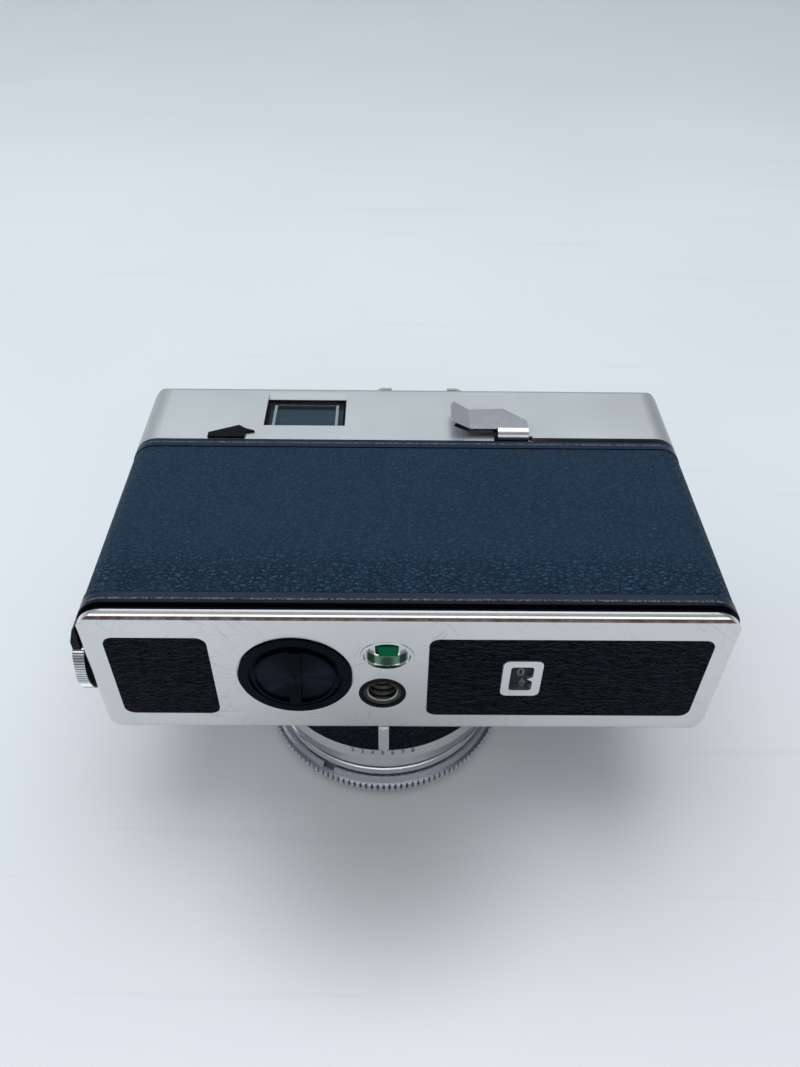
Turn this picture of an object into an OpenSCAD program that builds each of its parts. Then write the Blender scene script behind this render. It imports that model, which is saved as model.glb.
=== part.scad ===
// Half frame camera, lying lens-down on its front rim.
// Row frame: +X to the right seen from behind, +Y to the camera's top, +Z to its back.
// The origin is the centre of the front rim, on the lens axis.
// Body parts are drawn from the body's middle (x), its bottom face (y) and its back (depth).

/* [Body] */
// overall width of the body
body_w = 113; // [100:0.5:125]
// height of the body, without the shoe
body_h = 67.5; // [60:0.5:75]
// depth of the body, without the lens
body_d = 32.3; // [30:0.1:36]
// corner radius of the body seen from above
body_r = 5.4; // [3:0.1:8]
// height of the seam between back cover and top cover
seam_y = 48; // [46:0.1:50]
// thickness of the leather covering
leather_t = 0.6; // [0.4:0.1:1]
// wall of the sheet covers
sheet_t = 1.2; // [0.8:0.1:1.6]
// thickness of the bottom plate and radius of its rolled edge
plate_t = 1.4; // [1.2:0.05:1.6]
// how far the bottom plate stands in from the body's outline
plate_in = 0.35; // [0.1:0.05:0.6]

/* [Lens] */
// height of the lens axis above the bottom face
lens_y = 24.5; // [22:0.1:28]
// offset of the lens axis to the left of the body's middle
lens_dx = 4.4; // [0:0.1:8]
// distance from the front rim to the back of the body
total_d = 54; // [48:0.5:60]
// radius of the black lens collar
collar_r = 24.2; // [20:0.1:25]
// radius of the knurled focusing ring
focus_r = 25.4; // [22:0.1:26]
// radius of the smooth part inside the filter thread
filter_r = 20.3; // [18:0.05:22]
// running clearance of the rings
fit_gap = 0.06; // [0.03:0.01:0.1]

/* [Back cover] */
// lower edge of the back cover
door_y = 2.7; // [2.5:0.1:4]
// wall of the back cover, leather included
door_t = 1.5; // [1.2:0.1:2]
// depth that the cover's ends wrap around the body
door_wrap = 7; // [6:0.1:8]
// depth of the hinge axis below the back surface
hinge_d = 8.8; // [8:0.1:10]
// radius of the hinge knuckles
knuckle_r = 1.3; // [1:0.05:1.5]

/* [Rewind] */
// knob centre to the left of the middle
knob_x = 20; // [15:0.5:25]
// knob centre in depth
knob_d = 16.1; // [14:0.1:18]
// radius of the knob's flange
knob_r = 10.05; // [8:0.05:11]
// distance from knob axis to cartridge axis
rewind_span = 20.6; // [18:0.1:22]
// teeth on each rewind gear
rewind_teeth = 28; // [20:1:36]

/* [Latch] */
// latch wheel centre above the bottom face
latch_y = 8.45; // [8.2:0.05:10]
// latch wheel centre in depth
latch_d = 17.65; // [15:0.05:20]
// radius of the knurled latch wheel
latch_r = 8.1; // [5:0.1:8.2]

/* [Tripod] */
// tripod socket to the left of the middle
tripod_x = 4.6; // [0:0.1:10]
// tripod socket in depth
tripod_d = 21.1; // [18:0.1:24]
// wall radius of the tripod thread
tripod_r = 2.6; // [2.5:0.05:3.2]

/* [Advance] */
// lever pivot to the right of the middle
lever_x = 41; // [36:0.5:44]
// lever pivot in depth
lever_d = 9.5; // [8:0.1:12]

/* [Accessory shoe] */
// shoe centre to the right of the middle
shoe_x = 2.9; // [-10:0.1:10]
// width of the slot for a shoe foot
shoe_slot = 18.7; // [18.6:0.05:18.9]
// gap between the two lips
shoe_gap = 12.5; // [12.4:0.1:13]

/* [Hidden] */
$fn = 64;
e = 0.01;
mid_x = lens_dx;
film_y = lens_y;
film_x = -lens_dx;
front_z = total_d - body_d;
cart_x = -knob_x - rewind_span;
cart_d = 15.4;
spool_x = 38.5;
spool_d = 15;
sprocket_x = 18;
sprocket_d = 12.8;
switch_x = -3.8;
switch_d = 10.48;
dial_x = 28.2;
dial_d = 16.6;
hinge_x = body_w / 2 - knuckle_r;
silver = [0.80, 0.81, 0.83];
polished = [0.88, 0.89, 0.90];
black = [0.06, 0.06, 0.07];
hide = [0.10, 0.11, 0.15];
brass = [0.72, 0.58, 0.30];
glass = [0.35, 0.42, 0.48];

// moves a drawing from the body's own corner to the row frame
module cam() {
  translate([mid_x, -lens_y, total_d]) children();
}

// extrudes an (x, depth) outline upwards from height y0
module rise(y0, h) {
  translate([0, y0, 0]) rotate([-90, 0, 0]) linear_extrude(height = h) children();
}

// rounded rectangle between two corners, drawn with plain squares and circles
module rbox2(x0, y0, x1, y1, r) {
  translate([x0 + r, y0]) square([x1 - x0 - 2 * r, y1 - y0]);
  translate([x0, y0 + r]) square([x1 - x0, y1 - y0 - 2 * r]);
  for (x = [x0 + r, x1 - r])
    for (y = [y0 + r, y1 - r])
      translate([x, y]) circle(r = r);
}

// plan outline of the body, moved inwards by i
module plan2(i) {
  rbox2(i - body_w / 2, i, body_w / 2 - i, body_d - i, body_r - i);
}

module span2(x0, d0, x1, d1) {
  translate([x0, d0]) square([x1 - x0, d1 - d0]);
}

// upright cylinder at (x, depth), from height y0
module post(x, d, y0, h, r) {
  rise(y0, h) translate([x, d]) circle(r = r);
}

// box given by x, height and depth ranges
module brick(x0, x1, y0, y1, d0, d1) {
  translate([x0, y0, -d1]) cube([x1 - x0, y1 - y0, d1 - d0]);
}

// outline with n ridges between two radii
module ridges2(r0, r1, n) {
  polygon([for (i = [0 : n - 1]) for (k = [0 : 3])
    let (a = 360 * (i + [0.06, 0.3, 0.7, 0.94][k]) / n, r = [r0, r1, r1, r0][k])
      [r * cos(a), r * sin(a)]]);
}

// gear outline with trapezoid teeth and some backlash
module gear2(rp, n) {
  m = 2 * rp / n;
  polygon([for (i = [0 : n - 1]) for (k = [0 : 3])
    let (a = 360 * (i + [-0.29, -0.115, 0.115, 0.29][k]) / n,
         r = [rp - 0.95 * m, rp + 0.7 * m, rp + 0.7 * m, rp - 0.95 * m][k])
      [r * cos(a), r * sin(a)]]);
}

// ring turned about the lens axis, from an outline of (radius, height) points
module turned(points) {
  rotate_extrude($fn = 96) polygon(points);
}

module ring(r0, r1, z0, z1) {
  turned([[r0, z0], [r1, z0], [r1, z1], [r0, z1]]);
}

/* ---------- body ---------- */

module body_casting() {
  color(black) cam() difference() {
    union() {
      rise(plate_t + 0.05, 1) plan2(0.9);
      rise(2.2, seam_y - 2.2) intersection() {
        plan2(leather_t + 0.1);
        span2(-60, door_wrap + 0.4, 60, body_d);
      }
      rise(2.2, seam_y - 2.2) span2(-54.8, 6.8, 54.8, 12);
      rise(seam_y + 0.1, 1.1) plan2(sheet_t + 0.15);
      brick(-50, 50, seam_y - 1, seam_y + 0.2, 8, 28);
    }
    // relief for the swinging hinge side of the cover
    post(hinge_x, hinge_d, 2.4, seam_y - 2.2, 2.25);
    brick(hinge_x, 60, 2.4, seam_y + 0.2, 5, hinge_d + 2.25);
    // cartridge chamber and take-up chamber, open to the back
    post(cart_x, cart_d, 3.8, 43.2, 12.9);
    brick(cart_x - 12.9, cart_x + 12.9, 3.8, 47, 0, cart_d);
    post(spool_x, spool_d, 3.8, 43.2, 12.2);
    brick(spool_x - 12.2, spool_x + 12.2, 3.8, 47, 0, spool_d);
    post(sprocket_x, sprocket_d, 3.8, 43.2, 7.4);
    brick(sprocket_x - 7.4, sprocket_x + 7.4, 3.8, 47, 0, sprocket_d);
    // picture gate and light path
    brick(film_x - 9, film_x + 9, film_y - 12, film_y + 12, 5, 12);
    brick(film_x - 9.6, film_x + 9.6, film_y - 14, film_y + 14, 8.2, 26);
    translate([film_x, film_y, -body_d - 1]) cylinder(h = 10, r = 16.2);
    // room for the rewind gears and the counter dial under the floor
    rise(0, 2.7) plan2(3);
    // bores for the shafts
    post(cart_x, cart_d, 0, 5, 2.06);
    post(sprocket_x, sprocket_d, 2.5, 50, 1.56);
    post(spool_x, spool_d, 2.5, 50, 2.06);
    post(lever_x, lever_d, seam_y - 0.8, 3, 1.56);
    // room above the floor of the top cover for the advance lever's arm
    brick(17, 60, seam_y + 0.02, seam_y + 3, 0, 14);
    brick(36, 60, seam_y + 0.02, seam_y + 3, 0, 14.6);
    post(-tripod_x, tripod_d, 0, 7, 4.3);
    post(dial_x, dial_d, 2, 1.7, 1.56);
    post(shutter_x(), 14, 46, 6, 1.3);
    post(-46, 24.5, 46, 6, 1.3);
    translate([-60, latch_y, -latch_d]) rotate([0, 90, 0]) cylinder(h = 6, r = 1.56);
  }
  color(black) cam() {
    for (y = [12.6, 30.9]) {
      difference() {
        union() {
          post(hinge_x, hinge_d, y, 7.4, knuckle_r);
          brick(52.6, hinge_x, y, y + 7.4, hinge_d - 0.9, hinge_d + 1);
        }
        post(hinge_x, hinge_d, y - 1, 10, 0.8);
      }
    }
  }
}

function shutter_x() = 25;

module leather_ring2(i0, i1) {
  difference() {
    plan2(i0);
    plan2(i1);
  }
}

module front_leather() {
  color(hide) cam() difference() {
    rise(plate_t + 0.1, seam_y - plate_t - 0.3) difference() {
      leather_ring2(0.1, leather_t + 0.07);
      span2(-60, -1, 0, door_wrap + 0.5);
      span2(0, -1, 60, hinge_d + 2.3);
    }
    translate([film_x, film_y, -body_d - 1]) cylinder(h = 3, r = collar_r + 0.15);
    translate([-60, latch_y, -latch_d]) rotate([0, 90, 0]) cylinder(h = 6, r = 1.6);
  }
}

module long_edges(r) {
  rotate([90, 0, 90]) linear_extrude(height = 2 * body_w, center = true)
    rbox2(0, -body_d, body_h, 0, r);
}

module end_edges(r) {
  translate([0, 0, -2 * body_d]) linear_extrude(height = 4 * body_d)
    rbox2(-body_w / 2, 0, body_w / 2, body_h, r);
}

module top_cover() {
  color(silver) cam() difference() {
    intersection() {
      rise(seam_y, body_h - seam_y) plan2(0);
      long_edges(1.8);
      end_edges(3);
    }
    intersection() {
      rise(seam_y - 1, body_h - seam_y + 1 - sheet_t) plan2(sheet_t);
      translate([0, -sheet_t, 0]) end_edges(3);
    }
    // eyepiece opening with its chamfered hood, and the two front windows
    brick(-30.1, -13.1, 52.8, 63, -1, 3);
    translate([-30.1, 0, 0]) rotate([90, 0, 90]) linear_extrude(height = 17)
      polygon([[62.9, 0.1], [65.1, 0.1], [62.9, -1.35]]);
    brick(-29.6, -15.6, 54, 63, body_d - 3, body_d + 1);
    brick(-8.5, 4.5, 54.5, 62.5, body_d - 3, body_d + 1);
    // slot that the advance lever swings in
    brick(17.8, 60, seam_y - 1, seam_y + 1.1, -1, 3.2);
    brick(50, 60, seam_y - 1, seam_y + 1.1, -1, 7);
    brick(17.8, 25.8, seam_y - 1, seam_y + 1.7, -1, 1.3);
    post(shutter_x(), 14, body_h - 3, 5, 3.66);
    for (x = [-4, 4]) post(shoe_x + x, 7, body_h - 3, 5, 0.9);
    for (x = [-4, 4]) post(shoe_x + x, 15, body_h - 3, 5, 0.9);
    for (s = [-1, 1]) translate([s * body_w / 2, 57, -15.5]) rotate([0, 90, 0]) {
      cylinder(h = 8, r = 0.95, center = true);
      cylinder(h = 0.2, r = 1.75, center = true);
    }
  }
}

// oval outline of the switch's cup
module oval2(r) {
  translate([switch_x, switch_d]) scale([1, 0.8]) circle(r = r);
}

module bottom_plate() {
  color(silver) cam() difference() {
    intersection() {
      rise(0, plate_t) rbox2(plate_in - body_w / 2, plate_in, body_w / 2 - plate_in, body_d, 5);
      rotate([90, 0, 90]) linear_extrude(height = 2 * body_w, center = true)
        rbox2(0, -body_d, body_h, -plate_in, plate_t);
      translate([0, 0, -2 * body_d]) linear_extrude(height = 4 * body_d)
        rbox2(plate_in - body_w / 2, 0, body_w / 2 - plate_in, body_h, plate_t);
    }
    // shallow beds for the leather insets
    rise(-1, 1.4) rbox2(-52.1, 6, -34.5, 27.4, 1.9);
    rise(-1, 1.4) rbox2(3.4, 6, 52.3, 27.6, 1.9);
    // rewind shaft, well, switch bed and slot, tripod socket, counter window
    post(-knob_x, knob_d, -1, 1.6, knob_r + 0.25);
    post(-knob_x, knob_d, -1, 4, 2.06);
    rise(-1, 4) oval2(4.65);
    post(-tripod_x, tripod_d, -1, 4, 4.3);
    brick(17.3, 22.7, -1, 4, 12.4, 20.1);
  }
}

module bottom_leather_left() {
  color(hide) cam() rise(0, 0.35) rbox2(-52, 6.1, -34.6, 27.3, 1.8);
}

module bottom_leather_right() {
  color(hide) cam() rise(0, 0.35) difference() {
    rbox2(3.5, 6.1, 52.2, 27.5, 1.8);
    rbox2(16.45, 11.3, 23.65, 21.2, 1.3);
  }
}

/* ---------- back cover ---------- */

module back_cover() {
  color(black) cam() {
    difference() {
      rise(door_y, seam_y - 0.2 - door_y) difference() {
        intersection() {
          plan2(0);
          span2(-60, -1, 60, door_wrap);
        }
        plan2(door_t);
      }
      rise(5.1, seam_y - 7.5) difference() {
        plan2(-1);
        plan2(leather_t);
      }
    }
    for (s = [[3, 9.3], [20.3, 10.3], [38.6, 9]]) {
      difference() {
        union() {
          post(hinge_x, hinge_d, s[0], s[1], knuckle_r);
          brick(hinge_x, body_w / 2 - leather_t, s[0], s[0] + s[1], 5, hinge_d);
        }
        post(hinge_x, hinge_d, s[0] - 1, s[1] + 2, 0.8);
      }
    }
    // tongue that the latch wheel holds
    brick(-56.9, -56.2, 2.9, 4.9, 5.4, 6.9);
    difference() {
      rise(0.9, 8.1) polygon([[-56.45, 4.6], [-57, 5.2], [-58, 8.4], [-58, 10.4],
        [-56.6, 10.4], [-56.6, 7], [-56.45, 7]]);
      translate([-60, latch_y, -latch_d]) rotate([0, 90, 0]) cylinder(h = 6, r = latch_r + 0.5);
    }
  }
}

module back_leather() {
  color(hide) cam() rise(5.3, seam_y - 7.9) intersection() {
    leather_ring2(0.12, leather_t - 0.02);
    span2(-60, -1, 60, 6.5);
  }
}

module pressure_plate() {
  color(black) cam() difference() {
    brick(film_x - 16, film_x + 16, film_y - 17.3, film_y + 17.3, 5.1, 6.1);
    for (y = [-12, 12])
      brick(film_x - 13, film_x + 13, film_y + y - 1, film_y + y + 1, 5.8, 6.5);
  }
}

module pressure_spring() {
  color(polished) cam() {
    brick(film_x - 4, film_x + 4, film_y - 12, film_y + 12, door_t, door_t + 0.4);
    for (s = [-1, 1])
      brick(film_x - 4, film_x + 4, film_y + s * 10 - 2, film_y + s * 10 + 2,
        door_t + 0.3, door_t + 2.6);
  }
}

module hinge_pin() {
  color(polished) cam() post(hinge_x, hinge_d, 3, 44.6, 0.75);
}

module light_seals() {
  color(black) cam() {
    brick(-54.7, -53.7, 4, 46, 5.8, 6.8);
    brick(51.2, 52.6, 4, 46, 5.8, 6.8);
  }
}

/* ---------- latch on the left end ---------- */

module latch_knob() {
  color(polished) cam() translate([-57, latch_y, -latch_d]) rotate([0, -90, 0]) {
    difference() {
      union() {
        linear_extrude(height = 2) ridges2(latch_r - 0.25, latch_r, 96);
        cylinder(h = 2.4, r = latch_r - 1);
      }
      translate([0, 0, 2]) cylinder(h = 2, r = latch_r - 2);
    }
    translate([0, 0, -3]) cylinder(h = 3.5, r = 1.5);
  }
}

module latch_washer() {
  color(black) cam() translate([-56.95, latch_y, -latch_d]) rotate([0, 90, 0]) difference() {
    cylinder(h = 0.5, r = latch_r - 1);
    translate([0, 0, -1]) cylinder(h = 3, r = 1.6);
  }
}

/* ---------- viewfinder ---------- */

module window_box(x0, x1, y0, y1, d0, d1, w) {
  difference() {
    brick(x0, x1, y0, y1, d0, d1);
    brick(x0 + w, x1 - w, y0 + w, y1 - w, d0 - 1, d1 + 1);
  }
}

module eyepiece_frame() {
  color(black) cam() difference() {
    brick(-30.05, -13.15, 52.85, 62.95, 0.5, 2.4);
    brick(-29.55, -13.65, 53.25, 62.5, 0, 3);
  }
}

module eyepiece_glass() {
  color(glass) cam() brick(-29.53, -13.67, 53.27, 62.48, 0.7, 1.1);
}

module frameline_mask() {
  color(polished) cam() difference() {
    brick(-28.6, -14.75, 53.28, 62.1, 1.2, 1.5);
    brick(-28, -15.35, 53, 61.8, 1, 2);
  }
}

module finder_tube() {
  color(black) cam() window_box(-29.6, -13.6, 53.2, 62.6, 2.5, 28.1, 1);
}

module finder_front_frame() {
  color(black) cam() difference() {
    brick(-29.5, -15.7, 54.1, 62.9, 28.2, body_d - 0.2);
    brick(-28.4, -16.8, 55.2, 61.8, 27, body_d + 1);
  }
}

module finder_front_glass() {
  color(glass) cam() brick(-28.4, -16.8, 55.2, 61.8, 28.6, 29.6);
}

module meter_window() {
  color(glass) cam() difference() {
    brick(-8.45, 4.45, 54.55, 62.45, 28.6, body_d - 0.25);
    for (x = [-6.7 : 2.3 : 3]) brick(x, x + 0.7, 55.2, 61.8, body_d - 0.6, body_d);
  }
}

// black stop on the top cover's rear edge
module rear_tab() {
  color(black) cam() linear_extrude(height = 0.5)
    polygon([[-41, 48.15], [-41, 49.6], [-35, 52.2], [-33.6, 51.1], [-31.6, 50.3],
      [-33.3, 49.9], [-33.4, 48.15]]);
}

/* ---------- film transport ---------- */

// sheet lever: thumb plate standing on an arm that passes through the slot
module advance_lever() {
  color(polished) cam() {
    rise(seam_y + 0.12, 0.8) difference() {
      union() {
        translate([lever_x, lever_d]) circle(r = 4.4);
        polygon([[lever_x + 2, lever_d - 3.9], [lever_x - 3, lever_d + 3.2],
          [18.6, 2.6], [18.6, 0.45], [24.9, 0.45]]);
      }
      translate([lever_x, lever_d]) circle(r = 1.6);
    }
    translate([0, 0, 0.8]) linear_extrude(height = 0.9)
      polygon([[12.6, 49.8], [18.2, 49.8], [18.6, 50.3], [24.9, 50.3],
        [24.9, 52.8], [20.2, 57.1], [12.6, 56.6]]);
    // rolled bend from the thumb plate into the arm
    translate([18.6, seam_y + 0.12 + 2.2, -0.5]) rotate([90, 0, 90])
      linear_extrude(height = 6.3) difference() {
        circle(r = 2.2);
        circle(r = 1.3);
        translate([0, -3]) square([4, 6]);
        translate([-3, -3]) square([6, 3]);
      }
    translate([12.7, 0, 0.8]) rotate([0, 24, 0]) translate([-4, 0, 0])
      linear_extrude(height = 0.9)
        polygon([[0.5, 50], [4.1, 49.8], [4.1, 56.6], [0.6, 57.6], [0, 57], [0, 50.6]]);
  }
}

module advance_shaft() {
  color(brass) cam() {
    post(lever_x, lever_d, seam_y - 0.7, 3.5, 1.5);
    post(lever_x, lever_d, seam_y + 0.94, 1.2, 3.2);
  }
}

module takeup_spool() {
  color(black) cam() {
    difference() {
      post(spool_x, spool_d, 4.2, 42.4, 6.5);
      for (a = [0 : 60 : 359])
        translate([spool_x, 0, -spool_d]) rotate([0, a, 0])
          translate([5, 10, -0.6]) cube([3, 31, 1.2]);
    }
    post(spool_x, spool_d, 4.2, 1.6, 8.6);
    post(spool_x, spool_d, 45, 1.6, 8.6);
    post(spool_x, spool_d, 2.8, 45.1, 2);
  }
}

module sprocket() {
  color(polished) cam() translate([sprocket_x, 0, -sprocket_d]) {
    rotate([-90, 0, 0]) translate([0, 0, 4.2]) cylinder(h = 42.4, r = 5.1);
    for (y = [9.5, 37]) {
      rotate([-90, 0, 0]) translate([0, 0, y]) cylinder(h = 2.4, r = 5.9);
      for (a = [0 : 45 : 359])
        rotate([0, a, 0]) translate([5.4, y + 0.4, -0.7]) cube([1.4, 1.6, 1.4]);
    }
    rotate([-90, 0, 0]) translate([0, 0, 2.8]) cylinder(h = 45.1, r = 1.5);
  }
}

/* ---------- rewind ---------- */

module rewind_knob() {
  color(black) cam() {
    difference() {
      union() {
        post(-knob_x, knob_d, -0.35, 0.85, knob_r);
        post(-knob_x, knob_d, -0.8, 0.9, 7.45);
      }
      rise(-1, 1.2) translate([-knob_x, knob_d]) difference() {
        circle(r = 8.35);
        circle(r = 7.45);
      }
      post(-knob_x, knob_d, -2, 1.75, 6.95);
    }
    translate([-knob_x, 0, -knob_d]) rotate([0, 2.5, 0])
      translate([-1.02, -1, -7.2]) cube([2.04, 0.85, 14.4]);
    post(-knob_x, knob_d, 0.4, 1.3, 2);
    rise(1.45, 0.9) translate([-knob_x, knob_d]) gear2(rewind_span / 2, rewind_teeth);
  }
}

module rewind_gear() {
  color(brass) cam() rise(1.45, 0.9) translate([cart_x, cart_d]) difference() {
    rotate(180 / rewind_teeth + gear_tilt()) gear2(rewind_span / 2, rewind_teeth);
    circle(r = 2.02);
  }
}

// small turn that keeps the teeth in mesh where the two axes differ in depth
function gear_tilt() = 2 * atan2(knob_d - cart_d, rewind_span);

module rewind_fork() {
  color(polished) cam() {
    post(cart_x, cart_d, 1.45, 4.9, 2);
    post(cart_x, cart_d, 4.1, 1.2, 4);
    for (s = [-1, 1])
      brick(cart_x - 3.2, cart_x + 3.2, 5, 8.6, cart_d + s * 2.2 - 0.6, cart_d + s * 2.2 + 0.6);
  }
}

module rewind_escutcheon() {
  color(polished) cam() difference() {
    rise(-0.15, 2.1) oval2(4.6);
    rise(-1, 2.6) oval2(4.15);
    rise(-1, 4) rbox2(-5.9, 8, -1.75, 12, 0.4);
  }
}

module rewind_switch() {
  color([0.12, 0.42, 0.36]) cam() {
    brick(-5.3, -1.88, 1, 2.4, 9.3, 11.85);
    brick(-6.9, -0.7, 2.05, 2.4, 8.6, 12.9);
  }
}

module tripod_bush() {
  color(silver) cam() difference() {
    union() {
      post(-tripod_x, tripod_d, 0.05, 1.6, 3.4);
      post(-tripod_x, tripod_d, 1.4, 5.1, 4.2);
    }
    post(-tripod_x, tripod_d, -1, 6.5, tripod_r);
    translate([-tripod_x, 0.05 - e, -tripod_d]) rotate([-90, 0, 0])
      cylinder(h = 0.5, r1 = 3.1, r2 = tripod_r);
  }
}

module tripod_ring() {
  color(black) cam() difference() {
    post(-tripod_x, tripod_d, -0.1, 1.4, 4.25);
    post(-tripod_x, tripod_d, -1, 4, 3.44);
  }
}

/* ---------- frame counter ---------- */

module counter_frame() {
  color(polished) cam() {
    difference() {
      union() {
        rise(-0.35, 0.7) rbox2(16.55, 11.4, 23.55, 21.1, 1.2);
        rise(0.2, 1) rbox2(17.4, 12.5, 22.6, 20, 0.8);
      }
      rise(-1, 3) rbox2(17.95, 13, 22, 19.5, 0.6);
    }
    rise(-0.3, 0.6) polygon([[22.2, 15.6], [21, 16.4], [22.2, 17.2]]);
  }
}

module counter_glass() {
  color(glass) cam() rise(0.35, 0.5) rbox2(17.97, 13.02, 21.98, 19.48, 0.6);
}

module counter_dial() {
  color(black) cam() {
    post(dial_x, dial_d, 1.55, 0.5, 10);
    post(dial_x, dial_d, 1.55, 2, 1.5);
  }
}

/* ---------- top controls ---------- */

module shutter_button() {
  color(polished) cam() difference() {
    union() {
      post(shutter_x(), 14, body_h - 4, 5.6, 2.6);
      post(shutter_x(), 14, body_h - 4.4, 1.2, 3.3);
      post(shutter_x(), 14, 52.4, 12, 1.2);
    }
    post(shutter_x(), 14, body_h - 3, 6, 1);
  }
}

module button_collar() {
  color(polished) cam() difference() {
    union() {
      post(shutter_x(), 14, body_h - sheet_t, 1.9, 3.6);
      post(shutter_x(), 14, body_h, 0.7, 4.4);
    }
    post(shutter_x(), 14, body_h - 3, 5, 2.66);
  }
}

module shutter_spring() {
  color(polished) cam() difference() {
    post(shutter_x(), 14, seam_y + 1.3, 13.4, 2);
    post(shutter_x(), 14, seam_y + 1, 15, 1.5);
  }
}

module accessory_shoe() {
  w = shoe_slot / 2;
  color(polished) cam() difference() {
    intersection() {
      rise(body_h - 1, 6) rbox2(shoe_x - w - 1, 2.6, shoe_x + w + 1, 20, 2.4);
      union() {
        brick(shoe_x - w - 1, shoe_x + w + 1, body_h, body_h + 0.8, 2, 20);
        for (s = [-1, 1]) {
          x0 = shoe_x + s * (w + 0.5);
          brick(x0 - 0.5, x0 + 0.5, body_h, body_h + 3.7, 2, 20);
          x1 = shoe_x + s * (shoe_gap / 2 + w + 1) / 2;
          h = (w + 1 - shoe_gap / 2) / 2;
          brick(x1 - h, x1 + h, body_h + 2.9, body_h + 3.7, 2, 20);
        }
        brick(shoe_x - 5, shoe_x + 5, body_h, body_h + 2.2, 19.2, 20);
      }
    }
    for (x = [-4, 4]) for (d = [7, 15]) post(shoe_x + x, d, body_h - 1, 5, 0.9);
  }
}

module shoe_screws() {
  color(polished) cam() for (x = [-4, 4]) for (d = [7, 15]) difference() {
    post(shoe_x + x, d, body_h - 2.2, 2.9, 0.85);
    brick(shoe_x + x - 1, shoe_x + x + 1, body_h + 0.4, body_h + 1, d - 0.15, d + 0.15);
  }
}

module cover_screws() {
  color(polished) cam() for (m = [0, 1]) mirror([m, 0, 0]) {
    translate([body_w / 2 - 2.2, 57, -15.5]) rotate([0, 90, 0]) difference() {
      union() {
        cylinder(h = 2.4, r = 0.9);
        translate([0, 0, 2.15]) cylinder(h = 0.5, r = 1.7);
      }
      translate([-2, -0.2, 2.4]) cube([4, 0.4, 1]);
    }
  }
}

/* ---------- lens, drawn on the lens axis from the front rim ---------- */

module lens_collar() {
  color(black) turned([[21.2, 14.4], [collar_r - 0.5, 14.4], [collar_r - 0.5, front_z - 0.05],
    [collar_r - 1.1, front_z - 0.05], [collar_r - 1.1, front_z + 0.55], [21.2, front_z + 0.55]]);
}

module collar_leather() {
  color(hide) difference() {
    ring(collar_r - 0.48, collar_r, 14.5, front_z - 0.05);
    rotate(-90) translate([20, -1.05, 10]) cube([6, 2.1, 20]);
  }
}

module index_rib() {
  color(polished) translate([0, 0, 14.5]) linear_extrude(height = front_z - 14.6)
    intersection() {
      translate([-1, -collar_r - 0.4]) square([2, 0.88]);
      translate([0, 1.2 - collar_r]) circle(r = 1.6);
    }
}

module lens_barrel() {
  color(black) difference() {
    union() {
      ring(16, 19.6, 2.6, front_z + 0.5);
      ring(16, 21.1, front_z - 2, front_z + 0.55);
    }
    for (a = [45 : 90 : 359])
      rotate(a) translate([18.2, 0, front_z - 3]) cylinder(h = 5, r = 0.8);
  }
}

module speed_ring() {
  color(silver) turned([[19.6 + fit_gap, 6.4], [23, 6.4], [23.2, 6.6], [24.5, 11.4],
    [24.3, 14.2], [22.6, 14.2], [22.6, 13], [19.6 + fit_gap, 13]]);
}

module aperture_ring() {
  color(polished) turned([[19.6 + fit_gap, 4.2], [22.4, 4.2], [22.4, 4.6], [23.4, 4.6], [23.7, 4.8], [23.5, 6],
    [23.3, 6.15], [19.6 + fit_gap, 6.15]]);
}

module focus_ring() {
  color(polished) difference() {
    union() {
      translate([0, 0, 1.05]) linear_extrude(height = 1.7) ridges2(focus_r - 0.4, focus_r, 132);
      turned([[20, 1.05], [24.5, 1.05], [24.6, 2.8], [24.1, 3.9], [20, 3.9]]);
    }
    translate([0, 0, -1]) cylinder(h = 6, r = 21 + fit_gap, $fn = 96);
    // setting notch in the rear edge, clear of the grip
    rotate(-118) translate([22.9, -1.25, 2.85]) cube([4, 2.5, 3]);
  }
}

module front_bezel() {
  color(black) turned([[filter_r, 0], [24.3, 0], [24.6, 0.3], [24.6, 0.95], [21, 0.95],
    [21, 3.9], [filter_r, 3.9], [filter_r, 2.6], [15.2, 2.6], [15.2, 2], [filter_r, 2]]);
}

module lens_cell() {
  color(black) {
    turned([[10.6, 5.6], [15.1, 3], [15.1, 4.5], [16 - fit_gap, 4.5], [16 - fit_gap, 12],
      [10.6, 12]]);
  }
}

module front_glass() {
  color(glass) intersection() {
    translate([0, 0, 5.8]) cylinder(h = 5, r = 10.55);
    translate([0, 0, 30.5]) sphere(r = 26.2, $fn = 96);
  }
}

module shutter_plate() {
  color(black) ring(6.4, 15.9, 15.6, 16.8);
}

module shutter_blades() {
  color([0.2, 0.2, 0.22]) difference() {
    ring(3.2, 11, 17.1, 17.4);
    for (a = [0 : 72 : 359])
      rotate(a) translate([2, -0.06, 16]) cube([7.5, 0.12, 3]);
  }
}

module rear_cell() {
  color(black) {
    ring(9, 15.9, 18, 19.2);
    ring(9, 10.4, 19.1, 30);
  }
}

module rear_glass() {
  color(glass) translate([0, 0, 24]) cylinder(h = 4.5, r = 8.95);
}

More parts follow.
